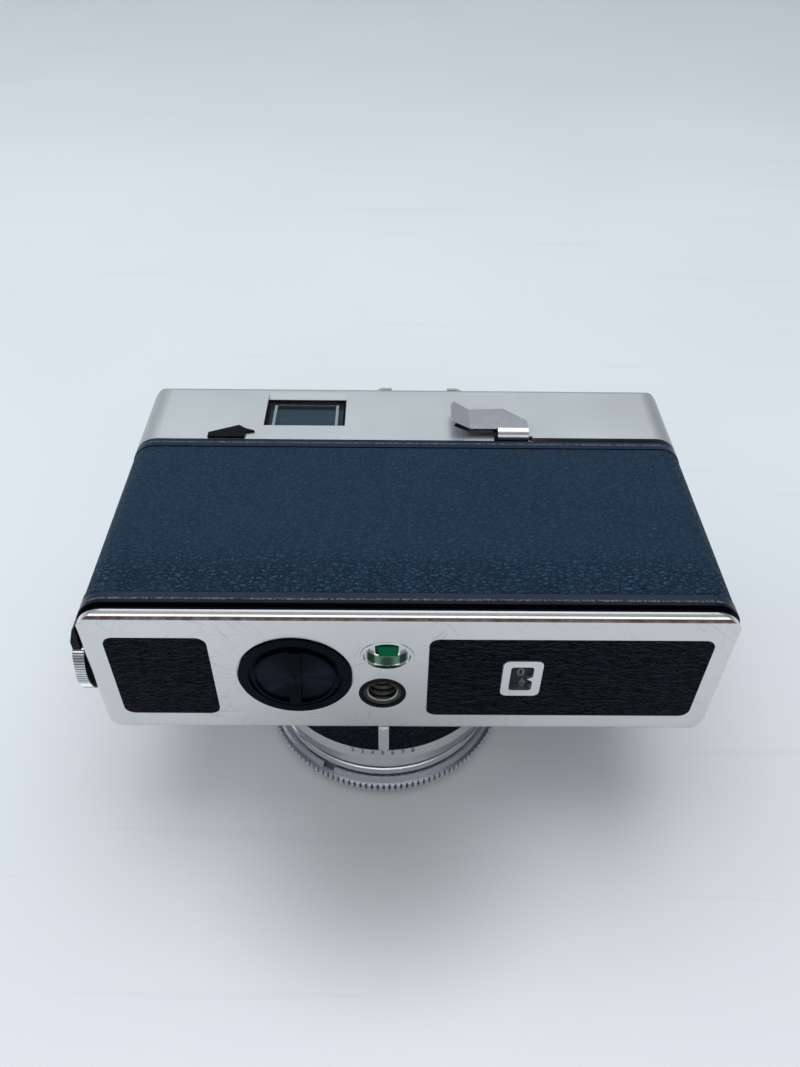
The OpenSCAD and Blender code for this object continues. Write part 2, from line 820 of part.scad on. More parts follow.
body_casting();
front_leather();
top_cover();
bottom_plate();
bottom_leather_left();
bottom_leather_right();
back_cover();
back_leather();
pressure_plate();
pressure_spring();
hinge_pin();
light_seals();
latch_knob();
latch_washer();
eyepiece_frame();
eyepiece_glass();
frameline_mask();
finder_tube();
finder_front_glass();
finder_front_frame();
meter_window();
advance_lever();
advance_shaft();
takeup_spool();
sprocket();
rewind_knob();
rewind_gear();
rewind_fork();
rewind_escutcheon();
rewind_switch();
tripod_bush();
tripod_ring();
rear_tab();
counter_frame();
counter_glass();
counter_dial();
shutter_button();
shutter_spring();
button_collar();
accessory_shoe();
shoe_screws();
cover_screws();
lens_collar();
collar_leather();
index_rib();
lens_barrel();
speed_ring();
aperture_ring();
focus_ring();
front_bezel();
lens_cell();
front_glass();
shutter_plate();
shutter_blades();
rear_cell();
rear_glass();
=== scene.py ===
import math
import bpy
from mathutils import Matrix, Vector


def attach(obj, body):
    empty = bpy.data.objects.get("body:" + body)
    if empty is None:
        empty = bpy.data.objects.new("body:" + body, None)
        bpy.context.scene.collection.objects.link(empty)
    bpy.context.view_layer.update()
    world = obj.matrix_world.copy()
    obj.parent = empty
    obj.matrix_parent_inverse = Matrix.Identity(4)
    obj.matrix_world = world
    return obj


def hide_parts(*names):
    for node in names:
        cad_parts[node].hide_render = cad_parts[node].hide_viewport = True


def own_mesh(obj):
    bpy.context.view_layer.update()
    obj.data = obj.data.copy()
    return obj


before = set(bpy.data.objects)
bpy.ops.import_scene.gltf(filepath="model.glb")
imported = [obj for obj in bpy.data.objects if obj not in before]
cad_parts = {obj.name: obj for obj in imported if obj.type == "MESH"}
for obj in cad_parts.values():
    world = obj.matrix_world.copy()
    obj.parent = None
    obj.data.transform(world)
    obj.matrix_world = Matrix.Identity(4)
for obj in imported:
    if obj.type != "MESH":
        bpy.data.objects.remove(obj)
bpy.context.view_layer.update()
scene = bpy.context.scene

# All lengths below are in mm unless a comment says otherwise, and MM turns them into metres.
MM = 0.001
# The camera body's own origin in the object's frame: middle of its width, bottom face, back face.
MID_X, BOTTOM_Y, BACK_Z = 4.4, -24.5, 54.0
# Axes of the round controls, in the body's coordinates.
KNOB_X, KNOB_D = -20.0, 16.1
WHEEL_Y, WHEEL_D = 8.45, 17.65
BUTTON_X, BUTTON_D = 25.0, 14.0


def at(x, y, d):
    """Point in metres in the object's frame, from the body's coordinates (d is the depth below the back)."""
    return Vector(((x + MID_X) * MM, (y + BOTTOM_Y) * MM, (BACK_Z - d) * MM))


def shade(colour, k):
    """The same colour, k times as bright."""
    return [c * k for c in colour]


# ---------- node helpers ----------

class Tree:
    """Nodes of one material. co holds the object coordinates in mm, and normal the surface normal."""

    def __init__(self, name):
        self.mat = bpy.data.materials.new(name)
        self.mat.use_nodes = True
        self.nt = self.mat.node_tree
        self.nt.nodes.clear()
        out = self.add("ShaderNodeOutputMaterial")
        self.bsdf = self.add("ShaderNodeBsdfPrincipled")
        self.link(self.bsdf.outputs[0], out.inputs[0])
        co = self.add("ShaderNodeTexCoord")
        mm = self.add("ShaderNodeVectorMath", operation="SCALE")
        self.link(co.outputs["Object"], mm.inputs[0])
        mm.inputs["Scale"].default_value = 1 / MM
        self.co = mm.outputs[0]
        self.normal = co.outputs["Normal"]
        self.height = None

    def add(self, kind, **attrs):
        n = self.nt.nodes.new(kind)
        for k, v in attrs.items():
            setattr(n, k, v)
        return n

    def link(self, a, b):
        self.nt.links.new(a, b)

    def put(self, socket, value):
        if hasattr(value, "is_output"):
            self.link(value, socket)
        else:
            socket.default_value = value

    def stretch(self, scale=(1, 1, 1), rot=(0, 0, 0), move=(0, 0, 0), co=None):
        """Coordinates for a texture that is scaled, turned (radians) and moved."""
        m = self.add("ShaderNodeMapping")
        self.link(co or self.co, m.inputs[0])
        m.inputs["Location"].default_value = move
        m.inputs["Scale"].default_value = scale
        m.inputs["Rotation"].default_value = rot
        return m.outputs[0]

    def noise(self, scale, detail=3.0, rough=0.5, co=None, distort=0.0):
        n = self.add("ShaderNodeTexNoise")
        self.link(co or self.co, n.inputs["Vector"])
        n.inputs["Scale"].default_value = scale
        n.inputs["Detail"].default_value = detail
        n.inputs["Roughness"].default_value = rough
        n.inputs["Distortion"].default_value = distort
        return n.outputs[0]

    def cells(self, scale, crease, co):
        """Rounded cells: 0 on the line between two cells, rising to 1 at the distance crease from it."""
        n = self.add("ShaderNodeTexVoronoi", feature="DISTANCE_TO_EDGE")
        self.link(co, n.inputs["Vector"])
        n.inputs["Scale"].default_value = scale
        return self.span(n.outputs["Distance"], 0.0, crease, 0.0, 1.0, True)

    def span(self, v, a, b, c=0.0, d=1.0, smooth=False):
        """v from a to b, turned into c to d and held there."""
        n = self.add("ShaderNodeMapRange")
        if smooth:
            n.interpolation_type = "SMOOTHSTEP"
        self.put(n.inputs[0], v)
        for i, x in enumerate((a, b, c, d)):
            n.inputs[i + 1].default_value = x
        return n.outputs[0]

    def spread(self, noise, c, d):
        """A noise's usual range, 0.3 to 0.7, turned into c to d."""
        return self.span(noise, 0.3, 0.7, c, d)

    def math(self, op, a, b=0.0):
        n = self.add("ShaderNodeMath", operation=op)
        self.put(n.inputs[0], a)
        self.put(n.inputs[1], b)
        return n.outputs[0]

    def times(self, a, b):
        return self.math("MULTIPLY", a, b)

    def vector(self, op, a, b=None):
        n = self.add("ShaderNodeVectorMath", operation=op)
        self.put(n.inputs[0], a)
        if b is not None:
            self.put(n.inputs[1], b)
        return n.outputs["Value" if op == "LENGTH" else "Vector"]

    def combine(self, x=0.0, y=0.0, z=0.0):
        n = self.add("ShaderNodeCombineXYZ")
        for i, v in enumerate((x, y, z)):
            self.put(n.inputs[i], v)
        return n.outputs[0]

    def mix(self, f, a, b):
        n = self.add("ShaderNodeMix", data_type="RGBA")
        self.put(n.inputs[0], f)
        self.put(n.inputs[6], a if hasattr(a, "is_output") else (*a, 1.0))
        self.put(n.inputs[7], b if hasattr(b, "is_output") else (*b, 1.0))
        return n.outputs[2]

    def specks(self, tone, colour, scale, detail, rough, start, amount):
        """tone with small specks of another colour: the lower the start, the more specks."""
        return self.mix(self.span(self.noise(scale, detail, rough), start, 0.76, 0.0, amount), tone, colour)

    def xyz(self, which, source=None):
        n = self.add("ShaderNodeSeparateXYZ")
        self.link(source or self.co, n.inputs[0])
        return n.outputs["XYZ".index(which)]

    def from_axis(self, axis, centre):
        """Vector to the surface from the line through centre along axis, at right angles, and its length."""
        keep = tuple(0 if k == axis else 1 for k in "XYZ")
        flat = self.vector("MULTIPLY", self.vector("SUBTRACT", self.co, centre), keep)
        return flat, self.vector("LENGTH", flat)

    def bump(self, height, distance, strength=1.0):
        """Relief of the given depth, on top of the relief that the material already has."""
        n = self.add("ShaderNodeBump")
        n.inputs["Strength"].default_value = strength
        n.inputs["Distance"].default_value = distance * MM
        self.put(n.inputs["Height"], height)
        if self.height is not None:
            self.link(self.height, n.inputs["Normal"])
        self.height = n.outputs[0]
        self.link(self.height, self.bsdf.inputs["Normal"])

    def set(self, **kw):
        names = {"base": "Base Color", "rough": "Roughness", "metal": "Metallic", "ior": "IOR",
                 "spec": "Specular IOR Level", "trans": "Transmission Weight"}
        for k, v in kw.items():
            self.put(self.bsdf.inputs[names[k]], v)


# ---------- materials ----------

def scratch_lines(t):
    """Thin bent scratches in four directions across the plate, 1 on a scratch and 0 beside it."""
    lines = None
    for turn, off in ((0.35, 0), (1.25, 40), (-0.6, 80), (2.3, 120)):
        wide = t.stretch((0.05, 0.05, 0.05), (0, turn, 0), (off, 0, off))
        bend = t.span(t.noise(1.0, 1.0, 0.4, wide), 0, 1, -9, 9)
        turned = t.stretch(rot=(0, turn, 0), move=(off, 0, off))
        bent = t.vector("ADD", turned, t.combine(z=bend))
        thin = t.noise(1.0, 0.0, 0.4, t.stretch((0.13, 0.02, 4.5), co=bent))
        line = t.span(thin, 0.765, 0.785)
        lines = line if lines is None else t.math("MAXIMUM", lines, line)
    patch = t.span(t.noise(0.09, 2.0, 0.5, t.stretch(move=(13, 0, 5))), 0.42, 0.6)
    return t.times(lines, patch)


def satin_metal(name, base, rough, scratches=0.0, rolled=False):
    """Satin chromed sheet. A rolled sheet has a polished edge towards the back, a brownish line along its foot
    and a painted dark reflection on the side turned to the back.
    """
    t = Tree(name)
    grain = t.noise(14.0, 3.0, 0.6)
    cloud = t.noise(0.05, 3.0, 0.6)
    tone = t.mix(t.span(cloud, 0.35, 0.65), shade(base, 0.95), base)
    tone = t.specks(tone, shade(base, 0.55), 1.1, 7.0, 0.8, 0.68, 0.3)
    r = t.math("ADD", t.spread(grain, rough - 0.03, rough + 0.04), t.spread(cloud, -0.03, 0.04))
    if scratches:
        lines = t.times(scratch_lines(t), scratches)
        tone = t.mix(lines, tone, shade(base, 0.4))
        r = t.math("ADD", r, t.times(lines, 0.2))
    if rolled:
        # nz goes from 0 on the bottom face to 1 on the side turned to the back
        nz = t.xyz("Z", t.normal)
        side = t.math("ABSOLUTE", t.xyz("Y", t.normal))
        polish = t.span(side, 0.75, 0.97, 1.0, 0.0, True)
        r = t.math("SUBTRACT", r, t.times(polish, rough - 0.2))
        # a brownish line along the foot of the roll, broken up by noise
        foot = t.times(t.span(nz, 0.10, 0.18, 0, 1, True), t.span(nz, 0.50, 0.60, 1, 0, True))
        foot_breakup = t.span(t.noise(0.5, 4.0, 0.6), 0.35, 0.6, 0.8, 1.0)
        tone = t.mix(t.times(foot, foot_breakup), tone, (0.15, 0.092, 0.082))
        # painted dark reflection on the side of the roll turned to the back
        tone = t.mix(t.span(nz, 0.84, 0.92, 0, 0.9, True), tone, (0.31, 0.31, 0.32))
        r = t.math("ADD", r, t.span(nz, 0.80, 0.90, 0, 0.12, True))
    t.set(base=tone, rough=r, metal=1.0)
    t.bump(grain, 0.004, 0.5)
    return t.mat


def polished_metal(name, base, rough=0.16, wear=0.3):
    """Smooth metal with small dull spots."""
    t = Tree(name)
    cloud = t.noise(0.35, 3.0, 0.5)
    fine = t.noise(3.0, 6.0, 0.75)
    tone = t.mix(t.span(fine, 0.66, 0.76, 0.0, wear), base, shade(base, 0.5))
    t.set(base=tone, rough=t.spread(cloud, rough - 0.03, rough + 0.05), metal=1.0)
    t.bump(fine, 0.002, 0.3)
    return t.mat


def underlit(name, base, rough):
    """Chromed sheet with a painted reflection of the dark leather on its faces turned to the camera's foot."""
    t = Tree(name)
    cloud = t.noise(0.35, 3.0, 0.5)
    down = t.span(t.xyz("Y", t.normal), -0.75, -0.9, 0.0, 0.93, True)
    tone = t.mix(t.span(cloud, 0.35, 0.65), base, shade(base, 0.94))
    # painted reflection: faces turned to the camera's foot take the leather's dark blue
    tone = t.mix(down, tone, (0.02, 0.03, 0.055))
    t.set(base=tone, rough=t.spread(cloud, rough - 0.03, rough + 0.05), metal=1.0)
    t.bump(cloud, 0.004, 0.3)
    return t.mat


def threaded(name, base, pitch):
    """Steel bore along Y with painted shade in the grooves of a screw thread."""
    t = Tree(name)
    wave = t.math("SINE", t.times(t.xyz("Y"), 2 * math.pi / pitch))
    # painted shade down in the thread's grooves
    groove = t.span(wave, -0.4, 0.5, 1.0, 0.0, True)
    grime = t.noise(1.6, 5.0, 0.7)
    tone = t.mix(groove, base, shade(base, 0.12))
    tone = t.mix(t.span(grime, 0.5, 0.7, 0.0, 0.6), tone, (0.05, 0.048, 0.048))
    t.set(base=tone, rough=t.spread(grime, 0.25, 0.45), metal=1.0)
    t.bump(wave, 0.12, 0.8)
    return t.mat


def spun_black(name, base, rough, centre):
    """Gloss black with faint turning rings about an axis along Y, and a painted sheen where they would give a
    fan of light.
    """
    t = Tree(name)
    flat, radius = t.from_axis("Y", centre)
    unit = t.vector("NORMALIZE", flat)
    rings = t.noise(3.5, 3.0, 0.6, t.combine(x=radius))
    rays = t.noise(2.2, 2.0, 0.5, unit)
    # painted sheen: a bluish fan of light on the knob's sides
    fan = t.span(t.math("ABSOLUTE", t.xyz("X", unit)), 0.25, 0.95, 0.0, 1.0, True)
    fan = t.times(fan, t.span(rays, 0.35, 0.65, 0.35, 1.0))
    fan = t.times(fan, t.span(radius, 6.7, 7.0, 1.0, 0.25))
    tone = t.mix(fan, base, (0.008, 0.013, 0.024))
    tone = t.specks(tone, (0.04, 0.045, 0.05), 2.4, 7.0, 0.85, 0.69, 0.5)
    t.set(base=tone, rough=t.spread(rings, rough - 0.04, rough + 0.08), spec=0.035)
    t.bump(rings, 0.03, 0.6)
    return t.mat


def cup_chrome(name, base, mouth, floor):
    """Polished cup with a painted reflection of the green slider on its far wall, from its mouth to its floor
    (heights Y).
    """
    t = Tree(name)
    n = t.noise(1.2, 4.0, 0.6)
    wall = t.span(t.xyz("Z", t.normal), 0.45, 0.7, 0.0, 1.0, True)
    deep = t.span(t.xyz("Y"), mouth, floor, 0.0, 0.92, True)
    tone = t.mix(t.span(n, 0.35, 0.7), base, shade(base, 0.85))
    # painted reflection of the green slider on the far wall, stronger deeper down
    tone = t.mix(t.times(wall, deep), tone, (0.01, 0.075, 0.045))
    t.set(base=tone, rough=t.spread(n, 0.08, 0.14), metal=1.0)
    t.bump(n, 0.004, 0.3)
    return t.mat


def turned_metal(name, base, rough=0.22):
    """Lens ring metal, with fine lathe lines round the lens axis."""
    t = Tree(name)
    lines = t.noise(7.0, 3.0, 0.6, t.combine(z=t.xyz("Z")))
    spots = t.noise(2.2, 5.0, 0.7)
    tone = t.mix(t.span(spots, 0.6, 0.75, 0.0, 0.3), base, shade(base, 0.5))
    t.set(base=tone, rough=t.spread(lines, rough - 0.05, rough + 0.08), metal=1.0)
    t.bump(lines, 0.01, 0.5)
    return t.mat


def enamel(name, base, rough, grain=0.02, ridges=(), spec=0.35):
    """Black paint on metal. ridges: heights Y of a worn line with a painted highlight along it; above the
    first, a painted bluish reflection.
    """
    t = Tree(name)
    n = t.noise(3.5, 5.0, 0.7)
    cloud = t.noise(0.2, 3.0, 0.6)
    tone = t.specks(base, [c + 0.05 for c in base], 3.0, 7.0, 0.85, 0.68, 0.5)
    if ridges:
        y = t.xyz("Y")
        wear = t.span(t.noise(2.6, 6.0, 0.85), 0.46, 0.6)
        line = None
        for k in ridges:
            off = t.math("ABSOLUTE", t.math("SUBTRACT", y, k))
            near = t.span(off, 0.10, 0.30, 1.0, 0.0, True)
            line = near if line is None else t.math("MAXIMUM", line, near)
        # painted bluish reflection on faces turned to the back, above the first ridge
        painted_blue_reflection = t.span(y, ridges[0] - 0.1, ridges[0] + 0.5, 0.0, 1.0, True)
        painted_blue_reflection = t.times(painted_blue_reflection, t.span(t.xyz("Z", t.normal), 0.0, 0.3))
        tone = t.mix(painted_blue_reflection, tone, (0.012, 0.022, 0.042))
        # along each ridge a bright line, partly wear and partly a painted highlight
        tone = t.mix(t.times(line, wear), tone, (0.17, 0.18, 0.26))
    t.set(base=tone, rough=t.spread(cloud, rough - 0.06, rough + 0.08), spec=spec)
    t.bump(n, grain, 0.6)
    return t.mat


def pebbled(name, base, cell, depth, rough, gloss=0.35, worn=False):
    """Pressed leather cloth: cell pebbles to the mm with creases, painted shade in the creases and a painted
    highlight on the pebbles' upper sides. Worn leather is smoother higher up.
    """
    t = Tree(name)
    wobble = []
    for k in (0.0, 31.0, 67.0):
        wob = t.noise(cell * 1.1, 2.0, 0.5, t.stretch(move=(k, k, k)))
        wobble.append(t.span(wob, 0.0, 1.0, -0.7 / cell, 0.7 / cell))
    co = t.vector("ADD", t.stretch((0.8, 1.15, 1.0)), t.combine(*wobble))
    # the same pebbles a small step on: the difference is a painted highlight on the side that faces the light
    step = t.vector("ADD", co, (0.0, 0.16 / cell, 0.05 / cell))
    pebble = t.cells(cell, 0.24, co)
    painted_highlight = t.math("SUBTRACT", pebble, t.cells(cell, 0.24, step))
    fine = t.noise(cell * 6, 3.0, 0.6)
    swell = t.noise(cell * 0.5, 3.0, 0.6)
    patch = t.span(swell, 0.38, 0.62, 0.25, 1.0)
    h = t.math("ADD", t.times(pebble, patch), t.times(fine, 0.18))
    painted_highlight = t.times(painted_highlight, patch)
    # painted shade: 1 down in the creases between pebbles
    crease = t.span(pebble, 0.0, 0.5, 1.0, 0.0)
    if worn:
        up = t.math("ADD", t.xyz("Y"), t.span(swell, 0, 1, -5, 5))
        relief = t.span(up, -17.0, -6.0, 1.0, 0.35, True)
        h, crease, painted_highlight = (t.times(v, relief) for v in (h, crease, painted_highlight))
    cloud = t.noise(0.05, 3.0, 0.6)
    mottle = t.noise(cell * 2.6, 5.0, 0.85)
    tone = t.mix(t.span(mottle, 0.38, 0.64), shade(base, 0.62), shade(base, 1.42))
    tone = t.mix(t.span(cloud, 0.35, 0.65, 0.0, 0.2), tone, shade(base, 0.6))
    # painted shade in the creases
    tone = t.mix(t.times(crease, t.spread(fine, 0.7, 1.2)), tone, shade(base, 0.42))
    tone = t.mix(t.span(painted_highlight, 0.08, 0.55, 0.0, 0.9), tone, [c * 2.8 + 0.010 for c in base])
    tone = t.specks(tone, (0.08, 0.10, 0.13), 1.9, 8.0, 0.9, 0.70, 0.5)
    r = t.math("ADD", t.span(pebble, 0, 1, rough + 0.2, rough), t.spread(fine, -0.05, 0.08))
    t.set(base=tone, rough=r, spec=gloss)
    t.bump(h, depth)
    return t.mat


def wrinkled(name, base, depth, rough, gloss):
    """Leather with long creases lying mostly across the camera, with painted shade in the creases and a
    painted highlight on their upper sides.
    """
    t = Tree(name)

    def folds(shift):
        big = t.noise(0.5, 3.0, 0.5, t.stretch((0.55, 1.0, 1.7), move=(0, 0, shift)), 0.7)
        small = t.noise(1.1, 2.0, 0.5, t.stretch((0.6, 1.0, 1.5), move=(0, 0, shift)), 0.8)
        big, small = (t.span(t.math("ABSOLUTE", t.math("SUBTRACT", v, 0.5)), 0.0, 0.15, 0.0, 1.0, True)
                      for v in (big, small))
        return t.math("ADD", big, t.times(small, 0.5))

    h = folds(0.0)
    # the same folds a small step on: the difference is a painted highlight on their upper sides
    painted_highlight = t.math("SUBTRACT", h, folds(0.30))
    # painted shade: darker down in the creases
    tone = t.mix(t.span(h, 0.2, 1.2), shade(base, 0.15), base)
    tone = t.mix(t.span(painted_highlight, 0.08, 0.5, 0.0, 1.0), tone, [c * 6.0 + 0.020 for c in base])
    tone = t.specks(tone, (0.05, 0.055, 0.06), 1.7, 8.0, 0.9, 0.71, 0.4)
    t.set(base=tone, rough=t.span(h, 0, 1.4, rough + 0.15, rough), spec=gloss)
    t.bump(h, depth)
    return t.mat


def knurled(name, base, rough, axis, centre, foot, crest):
    """Bright milled edge with painted shade in the grooves between the radii of the ridges' foot and crest."""
    t = Tree(name)
    _, radius = t.from_axis(axis, centre)
    wall = t.span(t.math("ABSOLUTE", t.xyz(axis, t.normal)), 0.25, 0.6, 1.0, 0.0, True)
    # painted shade down in the grooves
    groove = t.times(t.span(radius, foot, crest, 1.0, 0.0, True), wall)
    rub = t.noise(1.2, 5.0, 0.7)
    tone = t.mix(t.span(rub, 0.4, 0.7, 0.0, 0.3), base, shade(base, 0.7))
    tone = t.mix(groove, tone, shade(base, 0.22))
    t.set(base=tone, rough=t.spread(rub, rough - 0.04, rough + 0.06), metal=1.0)
    t.bump(rub, 0.006, 0.5)
    return t.mat


def ocular(name, base, top):
    """Rear lens of the finder, shaded by the opening along its upper edge (height Y)."""
    t = Tree(name)
    n = t.noise(0.4, 4.0, 0.6)
    shadow = t.span(t.xyz("Y"), top - 0.5, top, 0.0, 1.0, True)
    tone = t.mix(t.span(n, 0.35, 0.65), shade(base, 0.85), shade(base, 1.15))
    tone = t.mix(shadow, tone, (0.002, 0.004, 0.008))
    t.set(base=tone, rough=t.spread(n, 0.3, 0.42), spec=0.1)
    t.bump(n, 0.004, 0.3)
    return t.mat


def plain(name, base, rough, grain=4.0, depth=0.01, vary=0.2, spec=0.2):
    """Moulded or painted surface with a fine grain."""
    t = Tree(name)
    n = t.noise(grain, 4.0, 0.65)
    tone = t.mix(t.span(n, 0.35, 0.7), shade(base, 1 - vary), shade(base, 1 + vary))
    t.set(base=tone, rough=t.spread(n, rough - 0.06, rough + 0.08), spec=spec)
    t.bump(n, depth, 0.6)
    return t.mat


def glass(name, tint, rough=0.03, body=0.0, ior=1.5):
    """Clear glass. body: how much of it doesn't let light through."""
    t = Tree(name)
    n = t.noise(1.5, 4.0, 0.7)
    t.set(base=t.mix(t.span(n, 0.4, 0.7), tint, shade(tint, 0.9)),
          rough=t.span(n, 0.4, 0.7, rough, rough + 0.06), trans=1.0 - body, ior=ior)
    return t.mat


LENS_AXIS = (0, 0, 0)
WHEEL_AXIS = (0, WHEEL_Y + BOTTOM_Y, BACK_Z - WHEEL_D)
KNOB_AXIS = (KNOB_X + MID_X, 0, BACK_Z - KNOB_D)
TRIPOD_PITCH = 1.27

M = {
    "cover": satin_metal("satin_cover", (0.535, 0.555, 0.565), 0.42),
    "plate": satin_metal("satin_plate", (0.73, 0.735, 0.73), 0.34, scratches=0.3, rolled=True),
    "ring": turned_metal("satin_ring", (0.70, 0.70, 0.70), 0.30),
    "bright_ring": turned_metal("bright_ring", (0.60, 0.62, 0.66), 0.18),
    "grip": knurled("knurled_ring", (0.76, 0.79, 0.86), 0.28, "Z", LENS_AXIS, foot=25.05, crest=25.3),
    "wheel": knurled("knurled_wheel", (0.66, 0.68, 0.70), 0.22, "X", WHEEL_AXIS, foot=7.8, crest=8.02),
    "bright": polished_metal("bright_chrome", (0.80, 0.81, 0.82), 0.12),
    "cup": cup_chrome("cup_chrome", (0.80, 0.81, 0.82), mouth=-24.0, floor=-23.7),
    "frame": polished_metal("satin_frame", (0.72, 0.73, 0.73), 0.35, wear=0.15),
    "lever": underlit("lever_chrome", (0.56, 0.56, 0.60), 0.24),
    "steel": polished_metal("plain_steel", (0.5, 0.5, 0.51), 0.3),
    "thread": threaded("threaded_steel", (0.46, 0.46, 0.46), TRIPOD_PITCH),
    "brass": polished_metal("old_brass", (0.6, 0.42, 0.18), 0.3),
    "casting": enamel("black_casting", (0.003, 0.003, 0.004), 0.62, 0.04, spec=0.06),
    "rim": enamel("cover_rim", (0.002, 0.003, 0.006), 0.30, 0.01, ridges=(-20.9, 22.4), spec=0.10),
    "knob": spun_black("gloss_black", (0.0012, 0.0022, 0.004), 0.2, KNOB_AXIS),
    "ring_black": enamel("ring_black", (0.002, 0.003, 0.005), 0.3, 0.01, spec=0.08),
    "matte": plain("matte_black", (0.003, 0.004, 0.005), 0.6, spec=0.05),
    "dark_rim": enamel("dark_front_rim", (0.02, 0.021, 0.024), 0.35, spec=0.2),
    "hide": pebbled("body_leather", (0.0112, 0.0315, 0.0600), cell=0.95, depth=0.40, rough=0.46,
                    gloss=0.09, worn=True),
    "inset": wrinkled("inset_leather", (0.0012, 0.0024, 0.0044), depth=0.30, rough=0.42, gloss=0.03),
    "collar": pebbled("collar_leather", (0.0025, 0.006, 0.011), cell=1.0, depth=0.2, rough=0.5, gloss=0.05),
    "green": plain("green_slider", (0.0, 0.115, 0.048), 0.35, grain=3.0, vary=0.25, spec=0.05),
    "foam": plain("foam", (0.01, 0.01, 0.011), 0.9, grain=6.0, depth=0.08),
    "glass": glass("window_glass", (0.86, 0.92, 0.95), ior=1.18),
    "lens_glass": glass("coated_glass", (0.80, 0.82, 0.95), rough=0.0),
    "meter": glass("meter_glass", (0.35, 0.42, 0.45), rough=0.2, body=0.6),
    "ocular": ocular("ocular_back", (0.030, 0.062, 0.086), top=37.3),
    "ink": plain("engraving_fill", (0.14, 0.155, 0.175), 0.6),
    "pale": plain("pale_fill", (0.30, 0.31, 0.31), 0.5),
}

# which CAD nodes wear each material
LOOK = {
    "cover": ("top_cover",),
    "plate": ("bottom_plate",),
    "ring": ("speed_ring",),
    "bright_ring": ("aperture_ring",),
    "grip": ("focus_ring",),
    "wheel": ("latch_knob",),
    "bright": ("frameline_mask", "sprocket", "shutter_button", "button_collar", "accessory_shoe", "index_rib"),
    "cup": ("rewind_escutcheon",),
    "frame": ("counter_frame",),
    "lever": ("advance_lever",),
    "steel": ("pressure_spring", "hinge_pin", "rewind_fork", "shutter_spring", "shoe_screws",
              "cover_screws", "shutter_blades"),
    "thread": ("tripod_bush",),
    "brass": ("advance_shaft", "rewind_gear"),
    "casting": ("body_casting", "pressure_plate", "latch_washer", "lens_collar", "lens_barrel",
                "lens_cell", "shutter_plate", "rear_cell"),
    "rim": ("back_cover",),
    "knob": ("rewind_knob",),
    "ring_black": ("tripod_ring", "rear_tab"),
    "matte": ("eyepiece_frame", "finder_tube", "finder_front_frame", "takeup_spool", "counter_dial"),
    "dark_rim": ("front_bezel",),
    "hide": ("front_leather", "back_leather"),
    "inset": ("bottom_leather_left", "bottom_leather_right"),
    "collar": ("collar_leather",),
    "green": ("rewind_switch",),
    "foam": ("light_seals",),
    "glass": ("eyepiece_glass", "finder_front_glass", "counter_glass"),
    "lens_glass": ("front_glass", "rear_glass"),
    "meter": ("meter_window",),
}
for look, nodes in LOOK.items():
    for node in nodes:
        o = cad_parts[node]
        o.data.materials.clear()
        o.data.materials.append(M[look])


# ---------- small pieces made here ----------

def mesh_piece(name, verts, faces, material, body, slot):
    me = bpy.data.meshes.new(name)
    me.from_pydata(verts, [], faces)
    me.update()
    o = bpy.data.objects.new(name, me)
    scene.collection.objects.link(o)
    me.materials.append(material)
    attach(o, body)
    return o


def prism(outline, push):
    """Vertices and faces of a flat outline made thick by the vector push."""
    n = len(outline)
    faces = [tuple(range(n)), tuple(range(2 * n - 1, n - 1, -1))]
    faces += [(i, i + n, (i + 1) % n + n, (i + 1) % n) for i in range(n)]
    return outline + [v + push for v in outline], faces


def figures(name, items, size, depth, material, body, slot):
    """One mesh of engraved figures. items: (text, matrix that carries the text's plane into place)."""
    verts, faces = [], []
    for text, place in items:
        cu = bpy.data.curves.new("tmp", "FONT")
        cu.body = text
        cu.size = size * MM
        cu.extrude = depth * MM / 2
        cu.align_x, cu.align_y = "CENTER", "CENTER"
        o = bpy.data.objects.new("tmp", cu)
        scene.collection.objects.link(o)
        bpy.context.view_layer.update()
        me = bpy.data.meshes.new_from_object(o.evaluated_get(bpy.context.evaluated_depsgraph_get()))
        first = len(verts)
        verts += [place @ v.co for v in me.vertices]
        faces += [[first + i for i in p.vertices] for p in me.polygons]
        bpy.data.objects.remove(o)
        bpy.data.curves.remove(cu)
        bpy.data.meshes.remove(me)
    mesh_piece(name, verts, faces, material, body, slot)


def frame_at(origin, x_dir, y_dir):
    """Matrix of a frame at origin, its x along x_dir and its y as near to y_dir as it can be."""
    x = Vector(x_dir).normalized()
    z = x.cross(Vector(y_dir)).normalized()
    y = z.cross(x)
    m = Matrix.Identity(4)
    for i, v in enumerate((x, y, z)):
        m[0][i], m[1][i], m[2][i] = v
    m.translation = origin
    return m


# setting numbers 2 to 8 on the speed ring, the middle one below the index rib
RING_R, NUMBERS_Z = 24.42, 13.35
MIDDLE_ANGLE, NUMBER_STEP = -90.5, 4.7
marks = []
for i in range(7):
    a = math.radians(MIDDLE_ANGLE + (i - 3) * NUMBER_STEP)
    radial = Vector((math.cos(a), math.sin(a), 0))
    tangent = Vector((-math.sin(a), math.cos(a), 0))
    place = radial * (RING_R * MM) + Vector((0, 0, NUMBERS_Z * MM))
    marks.append((str(i + 2), frame_at(place, tangent, (0, 0, 1))))
figures("speed_numbers", marks, 1.5, 0.05, M["ink"], "speed", "black_matte")

# frame numbers on the counter dial, every fourth of 72, seen through the window
DIAL_CENTRE, DIAL_NUMBERS_R = at(28.2, 1.53, 16.6), 8.1
FRAMES, FRAME_ANGLE = 72, 5
marks = []
for i in range(0, FRAMES, 4):
    a = math.radians(180 + i * FRAME_ANGLE)
    radial = Vector((math.cos(a), 0, math.sin(a)))
    along = Vector((math.sin(a), 0, -math.cos(a)))
    marks.append((str(i), frame_at(DIAL_CENTRE + radial * DIAL_NUMBERS_R * MM, -radial, along)))
figures("counter_numbers", marks, 2.9, 0.04, M["pale"], "counter", "optical_glass")

